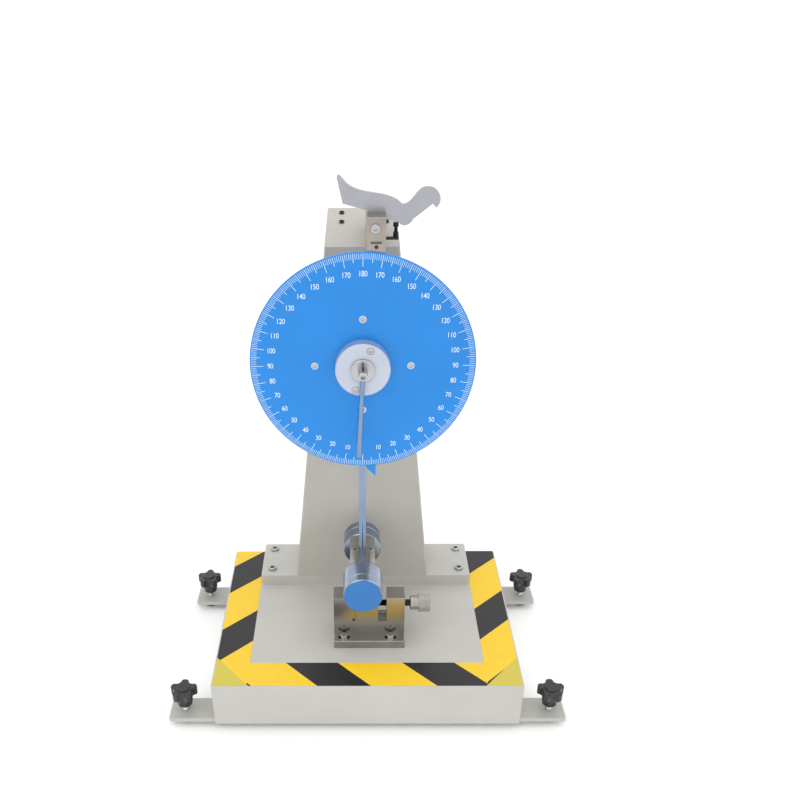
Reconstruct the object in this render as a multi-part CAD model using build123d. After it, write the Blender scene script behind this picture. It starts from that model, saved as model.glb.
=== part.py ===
from build123d import *
import math
import os

# Pendulum impact tester. Millimetres, +X right, +Y to the back, +Z up.
# The origin is on the floor, under the middle of the base.

# Base: a folded steel cover over two rails, standing on two cross bars
FEET_GAP = 10
BASE_W, BASE_D, BASE_H = 450, 350, 72
SHEET = 3
BASE_EDGE_R = 4
RAIL_W, RAIL_X = 40, 190
BAR_L, BAR_W, BAR_T = 585, 45, 6
FRONT_BAR_Y, REAR_BAR_Y = -148.5, 136.5
BAR_SLOT_PLAY = 0.5
TAPE_W, TAPE_T = 50, 0.3

# Levelling feet: star knob on a threaded stud that stands in a pad
STUD_X, STUD_R = 270.5, 5
PAD_R, PAD_H = 12, 8
SOCKET_DEPTH = 4.5
KNOB_BASE_Z = 27.5
KNOB_R, KNOB_HUB_R, KNOB_HUB_H, KNOB_STAR_H = 20, 11, 15, 14
KNOB_LOBES = 5

# Tower: foot plate, tapered box column, removable rear cover
TOWER_X = -6
FOOT_W, FOOT_T = 344, 19
TOWER_Y0, TOWER_Y1 = 75, 169
FOOT_SCREW_X, FOOT_SCREW_R = 155, 4
FOOT_SCREW_INSET = 18
COLUMN_HALF_W0, COLUMN_TAPER = 107.5, 0.1055
COLUMN_FRONT_H, COLUMN_REAR_H = 537, 566
COLUMN_WALL = 4
COVER_T, COVER_MARGIN = 2, 14
ROOF_SCREW_LEFT, ROOF_SCREW_RIGHT = -34, 28
ROOF_SCREW_SHARES, ROOF_HEAD_R, ROOF_HEAD_H = (0.62, 0.86), 3.6, 2
SMALL_SCREW_R, SMALL_HEAD_R, SMALL_HEAD_H = 2.5, 4.5, 3

# Shaft line
SHAFT_Z = 520
SHAFT_R, SHAFT_NOSE_R = 7.5, 4
SHAFT_Y_REAR = 72
RUNNING = 0.05
HOUSING_R, HOUSING_FLANGE_R, HOUSING_FLANGE_T = 24, 42, 8
HOUSING_BOLT_PCD_R, HOUSING_BOLTS = 36, 4
BEARING_OUTER_R, BEARING_W = 17.5, 11

# Pendulum
PEND_Y = -35
ROD_R = 5.25
SWING_R = 320
HUB_R, HUB_HALF = 19, 7
WEIGHT_R = 28.2
FRONT_WEIGHT_Y0, BRIDGE_Y0, BRIDGE_Y1, REAR_WEIGHT_Y1 = -117.5, -69.5, 2, 39
CAP_T, GROOVE_IN = 1.5, 15.5
BRIDGE_W, BRIDGE_UP, BRIDGE_DOWN = 37, 26, 4
STRIKER_Y, STRIKER_T, STRIKER_W = -55, 10, 14
STRIKER_NOSE_R = 2
CATCH_R, CATCH_PIN_R = 207, 3
CATCH_PIN_LEN = 11

# Dial and its carrier plate
DIAL_R, DIAL_T = 146, 3
CARRIER_R, CARRIER_T = 74, 5
ROD_TO_CARRIER = 2.75
DIAL_SCREW_PCD_R, DIAL_SCREWS = 62, 4
FLANGE_R, FLANGE_H, FLANGE_EDGE = 35.5, 17, 1.5
FLANGE_SCREW_PCD_R, FLANGE_SCREW_ANGLE = 28, 70
LUG_T, LUG_X0, LUG_X1, LUG_TIP_R, LUG_POINT_H = 2.5, -1, 12, 163, 12
SPACER_R, SPACER_ANGLE, SPACER_AT = 7, 7.5, 62

# Pointer
POINTER_GAP = 0.5
POINTER_HUB_R, POINTER_HUB_H = 16, 3
COLLAR_R, COLLAR_H = 6.25, 18.5
NEEDLE_TIP_R, NEEDLE_R, NEEDLE_ROOT_R, NEEDLE_LEN = 3.3, 3, 1.9, 120
NEEDLE_FROM_HUB_FACE = 3.6
NEEDLE_ANGLE = 2.5
LOCK_PIN_R, LOCK_PIN_LEN = 1.5, 10
SHAFT_SET_BACK = 5

# Release latch on the bracket above the dial
BRACKET_X, BRACKET_W = 10.2, 23
BRACKET_Z0, BRACKET_TOP = 666, 706
CHEEK_T, LEVER_T, LEVER_PLAY = 5.5, 5, 0.5
ROD_TO_LEVER = 4.75
ARM_TOP = 690
CHEEK_LAP = 21
CHEEK_SLOT_W, CHEEK_SLOT_H, CHEEK_SLOT_Z = 14, 3.6, 676.5
PIVOT_X, PIVOT_Z, PIVOT_R = 9, 693, 4
PIVOT_HEAD_R, PIVOT_HEAD_H = 5.5, 3
SPRING_X, SPRING_TOP_Z, SPRING_BOTTOM_Z = 34.4, 698.5, 675
SPRING_END_R, SPRING_END_H = 3.4, 5
SPRING_COIL_R, SPRING_WIRE_R, SPRING_PITCH = 2.1, 0.6, 1.8
ANCHOR_R = 2

# Specimen vise
VISE_X0, VISE_X1 = -49, 57
VISE_Y, VISE_BODY_D, VISE_BASE_D = -55, 28, 68
VISE_BASE_T, VISE_FLOOR_H, VISE_TOP_H = 13, 36, 79
FIXED_JAW_W, END_BLOCK_W, JAW_W = 32, 27, 34
JAW_SLIT = 0.4
JAW_PLAY = 0.15
JAW_CHAMFER = 2
TONGUE_W, TONGUE_H = 10, 4
VISE_SCREW_H, VISE_SCREW_R = 60, 5
VISE_NECK_R, VISE_NECK_L = 10.7, 12.5
VISE_KNOB_R, VISE_KNOB_L = 14, 17
KNOB_OFF_BLOCK = 8.5
VISE_KNURLS = 28
VISE_BOLT_R, VISE_BOLT_X, VISE_BOLT_MID = 3, 35, 1
VISE_SLOT_L = 18
JAW_HOLE_R, JAW_HOLE_X, JAW_HOLE_Z, JAW_HOLE_DEPTH = 2, -19.5, 120.5, 8

# Levels and planes that follow from the sizes above
BAR_TOP = FEET_GAP + BAR_T
BASE_TOP = FEET_GAP + BASE_H
FOOT_TOP = BASE_TOP + FOOT_T
HOUSING_FRONT = PEND_Y + HUB_HALF + 2
CARRIER_BACK = PEND_Y - ROD_R - ROD_TO_CARRIER
CARRIER_FRONT = CARRIER_BACK - CARRIER_T
DIAL_FRONT = CARRIER_FRONT - DIAL_T
FLANGE_FRONT = DIAL_FRONT - FLANGE_H
POINTER_BACK = FLANGE_FRONT - POINTER_GAP
POINTER_FRONT = POINTER_BACK - POINTER_HUB_H
COLLAR_FRONT = POINTER_FRONT - COLLAR_H
HAMMER_Z = SHAFT_Z - SWING_R
LEVER_Y0 = PEND_Y + ROD_R + ROD_TO_LEVER
WEIGHT_FACE_Y = FRONT_WEIGHT_Y0 - CAP_T
LEVER_Y1 = LEVER_Y0 + LEVER_T
VISE_FLOOR_Z = BASE_TOP + VISE_FLOOR_H
VISE_TOP_Z = BASE_TOP + VISE_TOP_H
VISE_SCREW_Z = BASE_TOP + VISE_SCREW_H
JAW_X0 = VISE_X0 + FIXED_JAW_W + JAW_SLIT
JAW_X1 = JAW_X0 + JAW_W
END_BLOCK_X0 = VISE_X1 - END_BLOCK_W


def save(node, shape):
    """Write one sub-part, given as one solid or a list of separate solids."""
    solids = shape if isinstance(shape, list) else [shape]
    whole = Compound(children=[s for part in solids for s in part.solids()])
    export_step(whole, f"parts/{node}.step")


def block(x0, x1, y0, y1, z0, z1):
    """A box given by its faces."""
    middle = ((x0 + x1) / 2, (y0 + y1) / 2, (z0 + z1) / 2)
    return Pos(*middle) * Box(x1 - x0, y1 - y0, z1 - z0)


def rod_z(x, y, z0, z1, r):
    """A round bar standing along Z."""
    return Pos(x, y, (z0 + z1) / 2) * Cylinder(r, z1 - z0)


def rod_y(x, z, y0, y1, r):
    """A round bar lying along Y."""
    return Pos(x, (y0 + y1) / 2, z) * Rot(90, 0, 0) * Cylinder(r, y1 - y0)


def rod_x(y, z, x0, x1, r):
    """A round bar lying along X."""
    return Pos((x0 + x1) / 2, y, z) * Rot(0, 90, 0) * Cylinder(r, x1 - x0)


def turned_y(profile, x, z):
    """Revolve a profile of (radius, y) points about the line through x and z along Y."""
    outline = make_face(Polyline(*[(r, y, 0) for r, y in profile], close=True))
    return Pos(x, 0, z) * revolve(outline, Axis.Y)


def turned_z(profile, x, y):
    """Revolve a profile of (radius, z) points about the vertical line through x and y."""
    outline = make_face(Polyline(*[(r, 0, z) for r, z in profile], close=True))
    return Pos(x, y, 0) * revolve(outline, Axis.Z)


def plate_xz(outline, y0, y1):
    """Extrude a sketch drawn in X and Z from y0 to y1."""
    face = Plane.XZ.offset(-y0) * outline
    return extrude(face, -(y1 - y0))


def socket_screw(radius, head_r, head_h, length):
    """A socket-head screw standing on Z=0 with its thread below, hexagon socket on top."""
    head = Pos(0, 0, head_h / 2) * Cylinder(head_r, head_h)
    head = fillet(head.edges().filter_by(GeomType.CIRCLE).group_by(Axis.Z)[-1], head_h * 0.15)
    shank = Pos(0, 0, -length / 2) * Cylinder(radius, length)
    hexagon = extrude(RegularPolygon(radius * 0.95, 6), head_h * 0.6)
    return head + shank - Pos(0, 0, head_h * 0.4) * hexagon


def base_cover():
    """Folded steel cover with a rounded rim, open below, notched over the cross bars."""
    outer = block(-BASE_W / 2, BASE_W / 2, -BASE_D / 2, BASE_D / 2, FEET_GAP, BASE_TOP)
    outer = fillet(outer.edges().filter_by(Axis.Z), BASE_EDGE_R)
    outer = fillet(outer.faces().sort_by(Axis.Z)[-1].edges(), SHEET / 2)
    inner = block(
        -BASE_W / 2 + SHEET, BASE_W / 2 - SHEET, -BASE_D / 2 + SHEET, BASE_D / 2 - SHEET, 0, BASE_TOP - SHEET
    )
    inner = fillet(inner.edges().filter_by(Axis.Z), BASE_EDGE_R - SHEET / 2)
    cover = outer - inner
    for bar_y in (FRONT_BAR_Y, REAR_BAR_Y):
        half = BAR_W / 2 + BAR_SLOT_PLAY
        cover -= block(-BASE_W, BASE_W, bar_y - half, bar_y + half, 0, BAR_TOP + BAR_SLOT_PLAY)
    for x, y in foot_screw_places():
        cover -= rod_z(x, y, BASE_TOP - 2 * SHEET, BASE_TOP + 1, FOOT_SCREW_R)
    for x, y in vise_bolt_places():
        cover -= rod_z(x, y, BASE_TOP - 2 * SHEET, BASE_TOP + 1, VISE_BOLT_R)
    return cover


def foot_screw_places():
    """Centres of the screws that hold the tower's foot plate."""
    ys = (TOWER_Y0 + FOOT_SCREW_INSET, TOWER_Y1 - FOOT_SCREW_INSET)
    return [(x, y) for x in (-FOOT_SCREW_X, FOOT_SCREW_X) for y in ys]


def vise_bolt_places():
    """Centres of the bolts that hold the vise, in its front and rear strips."""
    strip = (VISE_BODY_D + VISE_BASE_D) / 4
    return [(VISE_BOLT_MID + sx * VISE_BOLT_X, VISE_Y + sy * strip) for sx in (-1, 1) for sy in (-1, 1)]


def base_rails():
    """Two channel rails that carry the cover on the cross bars."""
    rails = []
    y0, y1 = -BASE_D / 2 + SHEET, BASE_D / 2 - SHEET
    for side in (-1, 1):
        x0, x1 = side * RAIL_X - RAIL_W / 2, side * RAIL_X + RAIL_W / 2
        web = x1 - SHEET if side > 0 else x0
        rail = block(x0, x1, y0, y1, BAR_TOP, BASE_TOP - SHEET)
        open_x0, open_x1 = (x0, web) if side > 0 else (x0 + SHEET, x1)
        rail -= block(open_x0, open_x1, y0, y1, BAR_TOP + SHEET, BASE_TOP - 2 * SHEET)
        for bar_y in (FRONT_BAR_Y, REAR_BAR_Y):
            rail -= rod_z(side * RAIL_X, bar_y, BAR_TOP - 1, BAR_TOP + SHEET + 1, SMALL_SCREW_R)
        rails.append(rail)
    return rails


def cross_bar(bar_y):
    """Flat bar under the base, with rounded corners, a stud hole at each end and screw holes."""
    bar = block(-BAR_L / 2, BAR_L / 2, bar_y - BAR_W / 2, bar_y + BAR_W / 2, FEET_GAP, BAR_TOP)
    bar = fillet(bar.edges().filter_by(Axis.Z), BASE_EDGE_R)
    bar = chamfer(bar.faces().sort_by(Axis.Z)[-1].edges(), 0.8)
    for side in (-1, 1):
        bar -= rod_z(side * STUD_X, bar_y, FEET_GAP - 1, BAR_TOP + 1, STUD_R + RUNNING)
        bar -= rod_z(side * RAIL_X, bar_y, FEET_GAP - 1, BAR_TOP + 1, SMALL_SCREW_R)
        bar -= rod_z(side * RAIL_X, bar_y, FEET_GAP - 1, FEET_GAP + SMALL_HEAD_H, SMALL_HEAD_R)
    return bar


def bar_screws():
    """Screws through the cross bars into the rails, heads sunk in the bars."""
    screw = Rot(180, 0, 0) * socket_screw(SMALL_SCREW_R, SMALL_HEAD_R, SMALL_HEAD_H, BAR_T)
    places = [(s * RAIL_X, y) for s in (-1, 1) for y in (FRONT_BAR_Y, REAR_BAR_Y)]
    return [Pos(x, y, FEET_GAP + SMALL_HEAD_H) * screw for x, y in places]


def hazard_tape():
    """Striped tape along the front, left and right rims of the base top."""
    margin = BASE_EDGE_R / 2
    x1, y0, y1 = BASE_W / 2 - margin, -BASE_D / 2 + margin, BASE_D / 2 - margin
    top = BASE_TOP + TAPE_T
    front = block(-x1, x1, y0, y0 + TAPE_W, BASE_TOP, top)
    sides = [
        block(x0, x0 + TAPE_W, y0 + TAPE_W, y1, BASE_TOP, top) for x0 in (-x1, x1 - TAPE_W)
    ]
    return [front] + sides


def levelling_pads():
    """Round pads with a socket for the stud's end, one under each stud."""
    pads = []
    for side in (-1, 1):
        for y in (FRONT_BAR_Y, REAR_BAR_Y):
            r_socket = STUD_R + 0.4
            profile = [
                (0, 0), (PAD_R, 0), (PAD_R, 3), (r_socket + 2, PAD_H),
                (r_socket, PAD_H), (r_socket, PAD_H - SOCKET_DEPTH), (0, PAD_H - SOCKET_DEPTH),
            ]
            pads.append(turned_z(profile, side * STUD_X, y))
    return pads


def stud(x, y):
    """Threaded stud from the pad's socket up into the star knob."""
    z0 = PAD_H - SOCKET_DEPTH + 0.5
    z1 = KNOB_BASE_Z + KNOB_HUB_H
    tip = 1.2
    profile = [(0, z0), (STUD_R - tip, z0), (STUD_R, z0 + tip), (STUD_R, BAR_TOP + 1)]
    z = BAR_TOP + 1
    while z + 1.5 < KNOB_BASE_Z:
        profile += [(STUD_R - 0.7, z + 0.75), (STUD_R, z + 1.5)]
        z += 1.5
    profile += [(STUD_R, z1), (0, z1)]
    return turned_z(profile, x, y)


def star_knob(x, y):
    """Moulded star grip with a tapered hub, hollowed between its lobes."""
    lobe_r, lobe_at = KNOB_R * 0.36, KNOB_R * 0.64
    star = Circle(KNOB_R * 0.72) + PolarLocations(lobe_at, KNOB_LOBES, 90) * Circle(lobe_r)
    outline = star - PolarLocations(KNOB_R * 1.06, KNOB_LOBES, 90 + 180 / KNOB_LOBES) * Circle(KNOB_R * 0.36)
    outline = fillet(outline.vertices(), 1.5)
    grip = Pos(0, 0, KNOB_HUB_H) * extrude(outline, KNOB_STAR_H)
    grip = chamfer(grip.faces().filter_by(Plane.XY).edges(), 1.2)
    from_below = (Align.CENTER, Align.CENTER, Align.MIN)
    crown = Cylinder(KNOB_R * 0.5, 2, align=from_below)
    crown = chamfer(crown.edges().group_by(Axis.Z)[-1], 1.2)
    hub = Cone(KNOB_HUB_R, KNOB_HUB_R * 1.15, KNOB_HUB_H, align=from_below)
    bore = Cylinder(STUD_R, KNOB_HUB_H, align=from_below)
    knob = grip + Pos(0, 0, KNOB_HUB_H + KNOB_STAR_H) * crown + hub - bore
    return Pos(x, y, KNOB_BASE_Z) * knob


def foot_plate():
    """Thick plate under the column with counterbored screw holes."""
    plate = block(-FOOT_W / 2, FOOT_W / 2, TOWER_Y0, TOWER_Y1, BASE_TOP, FOOT_TOP)
    plate = fillet(plate.edges().filter_by(Axis.Z), BASE_EDGE_R)
    plate = chamfer(plate.faces().sort_by(Axis.Z)[-1].edges(), 1)
    for x, y in foot_screw_places():
        plate -= rod_z(x, y, BASE_TOP - 1, FOOT_TOP + 1, FOOT_SCREW_R)
        plate -= rod_z(x, y, FOOT_TOP - FOOT_SCREW_R, FOOT_TOP + 1, FOOT_SCREW_R * 1.7)
    return plate


def foot_screws():
    """Socket-head screws of the foot plate, heads half sunk."""
    screw = socket_screw(FOOT_SCREW_R, FOOT_SCREW_R * 1.625, FOOT_SCREW_R * 2, FOOT_T - FOOT_SCREW_R)
    return [Pos(x, y, FOOT_TOP - FOOT_SCREW_R) * screw for x, y in foot_screw_places()]


def column_half_width(height):
    """Half the column's width at a height above the foot plate."""
    return COLUMN_HALF_W0 - COLUMN_TAPER * height


def column_solid(shrink):
    """The column's outer form, or its inside when shrunk by the wall."""
    bottom_w = 2 * (column_half_width(0) - shrink)
    top_w = 2 * (column_half_width(COLUMN_REAR_H) - shrink)
    depth = TOWER_Y1 - TOWER_Y0 - 2 * shrink
    middle = (TOWER_Y0 + TOWER_Y1) / 2
    z0 = FOOT_TOP if shrink == 0 else FOOT_TOP - 1
    bottom = Pos(TOWER_X, middle, z0) * Rectangle(bottom_w, depth)
    top = Pos(TOWER_X, middle, FOOT_TOP + COLUMN_REAR_H) * Rectangle(top_w, depth)
    body = loft([bottom, top])
    drop = COLUMN_REAR_H - COLUMN_FRONT_H
    z1 = FOOT_TOP + COLUMN_REAR_H - shrink
    roof = make_face(
        Polyline(
            (0, TOWER_Y0, z1 - drop), (0, TOWER_Y1, z1), (0, TOWER_Y1, z1 + 100), (0, TOWER_Y0, z1 + 100),
            close=True,
        )
    )
    cutter = Pos(TOWER_X, 0, 0) * extrude(roof, BASE_W / 2, dir=(1, 0, 0), both=True)
    return body - cutter


def cover_opening(margin, y0, y1):
    """A trapezoid block through the column's rear wall, set in from its outline."""
    low, high = FOOT_T, COLUMN_FRONT_H - margin
    w0 = column_half_width(low) - margin
    w1 = column_half_width(high) - margin
    outline = Polygon(
        (TOWER_X - w0, FOOT_TOP + low + margin), (TOWER_X + w0, FOOT_TOP + low + margin),
        (TOWER_X + w1, FOOT_TOP + high), (TOWER_X - w1, FOOT_TOP + high), align=None,
    )
    return plate_xz(outline, y0, y1)


def column_shell():
    """Tapered box column with a sloping roof, open at the foot and behind."""
    shell = column_solid(0) - column_solid(COLUMN_WALL)
    rims = [e for e in shell.edges() if abs(e.center().X - TOWER_X) > 30 and e.length > COLUMN_FRONT_H / 2]
    outer = [e for e in rims if abs(e.center().Y - TOWER_Y0) < 0.1 or abs(e.center().Y - TOWER_Y1) < 0.1]
    shell = fillet(outer, 2.5)
    shell -= cover_opening(COVER_MARGIN * 2, TOWER_Y1 - 2 * COLUMN_WALL, TOWER_Y1 + 1)
    shell -= rod_y(TOWER_X, SHAFT_Z, TOWER_Y0 - 1, TOWER_Y0 + COLUMN_WALL + 1, SHAFT_R + 2)
    for x, z in housing_bolt_places():
        shell -= rod_y(x, z, TOWER_Y0 - 1, TOWER_Y0 + COLUMN_WALL + 1, SMALL_SCREW_R)
    for x, z in cover_screw_places():
        shell -= rod_y(x, z, TOWER_Y1 - COLUMN_WALL - 1, TOWER_Y1 + 1, SMALL_SCREW_R)
    for place in roof_screw_places():
        shell -= place * Cylinder(SMALL_SCREW_R, 4 * COLUMN_WALL)
    return shell


def rear_cover():
    """Removable sheet cover over the opening behind the column."""
    cover = cover_opening(COVER_MARGIN, TOWER_Y1, TOWER_Y1 + COVER_T)
    for x, z in cover_screw_places():
        cover -= rod_y(x, z, TOWER_Y1 - 1, TOWER_Y1 + COVER_T + 1, SMALL_SCREW_R)
    return cover


def cover_screw_places():
    """Screw centres along both edges of the rear cover."""
    heights = [FOOT_T + 2 * COVER_MARGIN, COLUMN_FRONT_H / 2, COLUMN_FRONT_H - 2 * COVER_MARGIN]
    inset = COVER_MARGIN * 1.5
    return [
        (TOWER_X + side * (column_half_width(h) - inset), FOOT_TOP + h) for h in heights for side in (-1, 1)
    ]


def rear_cover_screws():
    """Round-head screws that hold the rear cover."""
    screw = Rot(-90, 0, 0) * socket_screw(SMALL_SCREW_R, SMALL_HEAD_R, SMALL_HEAD_H, COVER_T + COLUMN_WALL)
    return [Pos(x, TOWER_Y1 + COVER_T, z) * screw for x, z in cover_screw_places()]


def roof_slope():
    """Pitch of the roof in degrees."""
    return math.degrees(math.atan2(COLUMN_REAR_H - COLUMN_FRONT_H, TOWER_Y1 - TOWER_Y0))


def roof_point(x, share):
    """A place on the roof, share of the way from its front edge to its back edge."""
    y = TOWER_Y0 + share * (TOWER_Y1 - TOWER_Y0)
    z = FOOT_TOP + COLUMN_FRONT_H + share * (COLUMN_REAR_H - COLUMN_FRONT_H)
    return Pos(x, y, z) * Rot(roof_slope(), 0, 0)


def roof_screw_places():
    """Frames of the four roof screws, which hold the bracket's saddle inside."""
    return [roof_point(x, share) for x in (ROOF_SCREW_LEFT, ROOF_SCREW_RIGHT) for share in ROOF_SCREW_SHARES]


def roof_screws():
    """Screws on the sloping roof."""
    screw = socket_screw(SMALL_SCREW_R, ROOF_HEAD_R, ROOF_HEAD_H, COLUMN_WALL)
    return [place * screw for place in roof_screw_places()]


def housing_bolt_places():
    """Centres of the screws round the bearing housing's flange."""
    step = 360 / HOUSING_BOLTS
    angles = [math.radians(step * (i + 0.5)) for i in range(HOUSING_BOLTS)]
    r = HOUSING_BOLT_PCD_R
    return [(TOWER_X + r * math.cos(a), SHAFT_Z + r * math.sin(a)) for a in angles]


def bearing_housing():
    """Turned housing on the column's face, with a bearing seat at each end."""
    flange_y = TOWER_Y0 - HOUSING_FLANGE_T
    front, back = HOUSING_FRONT, TOWER_Y0
    bore = SHAFT_R + 3
    profile = [
        (BEARING_OUTER_R, front), (HOUSING_R - 1, front), (HOUSING_R, front + 1), (HOUSING_R, flange_y - 6),
        (HOUSING_R + 6, flange_y), (HOUSING_FLANGE_R - 1, flange_y), (HOUSING_FLANGE_R, flange_y + 1),
        (HOUSING_FLANGE_R, back), (BEARING_OUTER_R, back), (BEARING_OUTER_R, back - BEARING_W),
        (bore, back - BEARING_W), (bore, front + BEARING_W), (BEARING_OUTER_R, front + BEARING_W),
    ]
    housing = turned_y(profile, TOWER_X, SHAFT_Z)
    for x, z in housing_bolt_places():
        housing -= rod_y(x, z, flange_y - 1, TOWER_Y0 + 1, SMALL_SCREW_R)
    return housing


def housing_screws():
    """Screws of the bearing housing's flange."""
    length = HOUSING_FLANGE_T + COLUMN_WALL
    screw = Rot(90, 0, 0) * socket_screw(SMALL_SCREW_R, SMALL_HEAD_R, 2 * SMALL_SCREW_R, length)
    return [Pos(x, TOWER_Y0 - HOUSING_FLANGE_T, z) * screw for x, z in housing_bolt_places()]


def ball_bearing(y0, shaft_r):
    """Sealed ball bearing as one turned ring with recessed seals."""
    y1 = y0 + BEARING_W
    inner, outer = shaft_r + RUNNING, BEARING_OUTER_R
    rim = (outer - inner) * 0.28
    profile = [
        (inner, y0), (inner + rim, y0), (inner + rim, y0 + 1), (outer - rim, y0 + 1), (outer - rim, y0),
        (outer, y0), (outer, y1), (outer - rim, y1), (outer - rim, y1 - 1), (inner + rim, y1 - 1),
        (inner + rim, y1), (inner, y1),
    ]
    return turned_y(profile, TOWER_X, SHAFT_Z)


def pendulum_shaft():
    """Stepped shaft from the column through the dial to the pointer."""
    step_y = CARRIER_BACK + 1
    nose_y = COLLAR_FRONT + SHAFT_SET_BACK
    profile = [
        (0, nose_y), (SHAFT_NOSE_R, nose_y), (SHAFT_NOSE_R, step_y),
        (SHAFT_R, step_y), (SHAFT_R, SHAFT_Y_REAR - 1), (SHAFT_R - 1, SHAFT_Y_REAR), (0, SHAFT_Y_REAR),
    ]
    return turned_y(profile, TOWER_X, SHAFT_Z)


def pendulum_hub():
    """Clamp hub on the shaft with a boss that takes the rod."""
    ring = turned_y(
        [
            (SHAFT_R, PEND_Y - HUB_HALF), (HUB_R - 1, PEND_Y - HUB_HALF), (HUB_R, PEND_Y - HUB_HALF + 1),
            (HUB_R, PEND_Y + HUB_HALF - 1), (HUB_R - 1, PEND_Y + HUB_HALF), (SHAFT_R, PEND_Y + HUB_HALF),
        ],
        TOWER_X,
        SHAFT_Z,
    )
    boss = rod_z(TOWER_X, PEND_Y, SHAFT_Z - HUB_R - 14, SHAFT_Z - HUB_R + 3, HUB_HALF - 0.2)
    rod_hole = rod_z(TOWER_X, PEND_Y, SHAFT_Z - HUB_R - 15, SHAFT_Z - SHAFT_R - 3, ROD_R)
    return ring + boss - rod_y(TOWER_X, SHAFT_Z, PEND_Y - HUB_R, PEND_Y + HUB_R, SHAFT_R) - rod_hole


def pendulum_rod():
    """Polished rod from the hub down into the hammer's bridge."""
    return rod_z(TOWER_X, PEND_Y, HAMMER_Z + BRIDGE_UP - 14, SHAFT_Z - SHAFT_R - 3, ROD_R)


def hammer_weight(y0, y1, groove_y):
    """Turned round weight with chamfered rims and a fine groove near its outer face."""
    edge, groove = 1.2, 0.6
    profile = [
        (0, y0), (WEIGHT_R - edge, y0), (WEIGHT_R, y0 + edge),
        (WEIGHT_R, groove_y - groove), (WEIGHT_R - groove, groove_y), (WEIGHT_R, groove_y + groove),
        (WEIGHT_R, y1 - edge), (WEIGHT_R - edge, y1), (0, y1),
    ]
    return turned_y(profile, TOWER_X, HAMMER_Z)


def weight_cap():
    """Thin coloured disc on the front weight's face."""
    cap = rod_y(TOWER_X, HAMMER_Z, WEIGHT_FACE_Y, FRONT_WEIGHT_Y0, WEIGHT_R - 1.5)
    return chamfer(cap.edges().group_by(Axis.Y)[0], 0.5)


def hammer_bridge():
    """Block between the two weights that takes the rod and carries the striker."""
    z0, z1 = HAMMER_Z - BRIDGE_DOWN, HAMMER_Z + BRIDGE_UP
    bridge = block(TOWER_X - BRIDGE_W / 2, TOWER_X + BRIDGE_W / 2, BRIDGE_Y0, BRIDGE_Y1, z0, z1)
    bridge = chamfer(bridge.edges().filter_by(Axis.Y), 3)
    bridge &= rod_y(TOWER_X, HAMMER_Z, BRIDGE_Y0, BRIDGE_Y1, WEIGHT_R)
    bridge -= rod_z(TOWER_X, PEND_Y, z1 - 14, z1 + 1, ROD_R)
    for x in bridge_screw_places():
        bridge -= rod_z(x, PEND_Y, z1 - 16, z1 + 1, SMALL_SCREW_R)
        bridge -= rod_z(x, PEND_Y, z1 - 2 * SMALL_HEAD_H, z1 + 1, SMALL_HEAD_R)
    half = STRIKER_T / 2
    x0, x1 = TOWER_X - STRIKER_W / 2, TOWER_X + STRIKER_W / 2
    return bridge - block(x0, x1, STRIKER_Y - half, STRIKER_Y + half, z0 - 1, z0 + 8)


def bridge_screw_places():
    """X of the two clamp screws beside the rod."""
    return [TOWER_X + side * (ROD_R + SMALL_HEAD_R + 2) for side in (-1, 1)]


def bridge_screws():
    """Sunk clamp screws beside the rod."""
    screw = socket_screw(SMALL_SCREW_R, SMALL_HEAD_R, 2 * SMALL_SCREW_R, 10)
    z = HAMMER_Z + BRIDGE_UP - 2 * SMALL_HEAD_H
    return [Pos(x, PEND_Y, z) * screw for x in bridge_screw_places()]


def striker():
    """Hardened striking blade with a rounded nose on both sides."""
    z0, z1 = HAMMER_Z - WEIGHT_R + 4, HAMMER_Z - BRIDGE_DOWN + 8
    half_w, half_t = STRIKER_W / 2, STRIKER_T / 2
    outline = Polygon(
        (-half_w, 0), (-half_w + half_t, -half_t), (half_w - half_t, -half_t),
        (half_w, 0), (half_w - half_t, half_t), (-half_w + half_t, half_t), align=None,
    )
    outline = fillet([v for v in outline.vertices() if abs(v.Y) < 0.01], STRIKER_NOSE_R)
    blade = Pos(TOWER_X, STRIKER_Y, z0) * extrude(outline, z1 - 8 - z0)
    root = block(
        TOWER_X - half_w, TOWER_X + half_w, STRIKER_Y - half_t, STRIKER_Y + half_t, z1 - 8, z1
    )
    return blade + root


def catch_pin():
    """Pin through the rod that the latch holds when the pendulum is raised."""
    z = SHAFT_Z - CATCH_R
    y0, y1 = PEND_Y + ROD_R - 1, PEND_Y + ROD_R + CATCH_PIN_LEN - 1
    pin = rod_y(TOWER_X, z, y0, y1, CATCH_PIN_R)
    pin = chamfer(pin.edges().filter_by(GeomType.CIRCLE).group_by(Axis.Y)[-1], 0.6)
    return pin - rod_z(TOWER_X, PEND_Y, z - 10, z + 10, ROD_R)


def scale_lug():
    """Thin pointed tongue on the carrier that shows below the dial's rim."""
    tip = SHAFT_Z - LUG_TIP_R
    top = SHAFT_Z - CARRIER_R + 8
    outline = Polygon(
        (LUG_X0, top), (LUG_X0, tip + LUG_POINT_H), (LUG_X1 - 1, tip), (LUG_X1, tip + 1), (LUG_X1, top),
        align=None,
    )
    tongue = plate_xz(outline, CARRIER_FRONT, CARRIER_FRONT + LUG_T)
    return tongue - rod_y(TOWER_X, SHAFT_Z, CARRIER_FRONT - 1, CARRIER_BACK, CARRIER_R)


def dial_screw_places():
    """Centres of the dial's screws."""
    step = 360 / DIAL_SCREWS
    angles = [math.radians(90 + step * i) for i in range(DIAL_SCREWS)]
    r = DIAL_SCREW_PCD_R
    return [(TOWER_X + r * math.cos(a), SHAFT_Z + r * math.sin(a)) for a in angles]


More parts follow.
